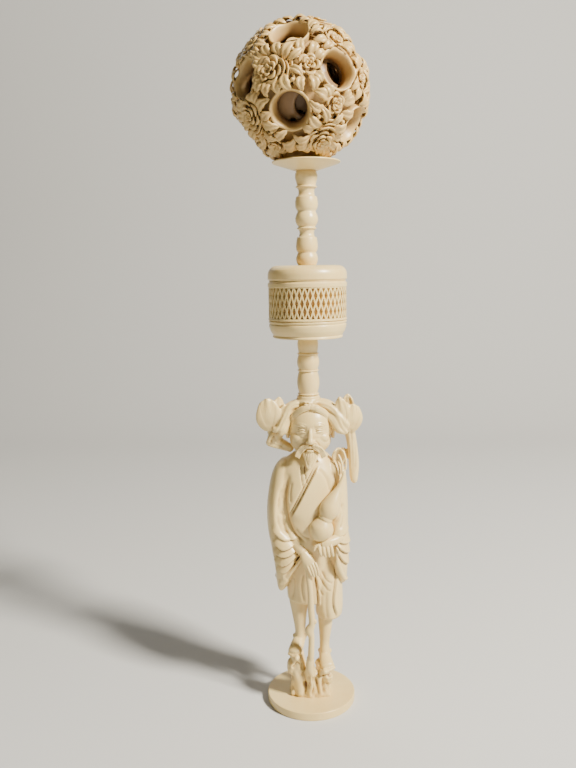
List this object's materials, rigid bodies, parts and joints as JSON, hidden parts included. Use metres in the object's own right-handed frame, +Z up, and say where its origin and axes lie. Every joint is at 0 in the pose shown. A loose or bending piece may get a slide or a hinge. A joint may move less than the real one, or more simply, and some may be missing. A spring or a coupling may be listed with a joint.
{
  "type": "carved puzzle ball on figure stand",
  "caption": "Nested pierced puzzle ball on a turned stem with a latticed drum, carried by a carved standing elder with staff and gourd on a round base",
  "frame": {"origin": "centre of the base disc's flat underside", "axes": "+Z up along the turned stem, the figure faces -Y, +X is on the right of a viewer in front"},
  "size_m": [0.0509, 0.0504, 0.2598],
  "materials": {
    "ivory": "hand-polished pale ivory with a satin surface",
    "aged_ivory": "warmer, more yellowed ivory with a satin surface"
  },
  "bodies": {
    "root": {"base_disc": "ivory", "figure": "ivory", "lower_stem": "ivory", "drum_foot": "ivory", "drum_sleeve": "ivory", "drum_lid": "ivory", "upper_stem": "ivory", "dish": "ivory", "outer_ball": "aged_ivory", "second_ball": "aged_ivory", "third_ball": "aged_ivory", "innermost_ball": "aged_ivory"}
  },
  "joints": []
}
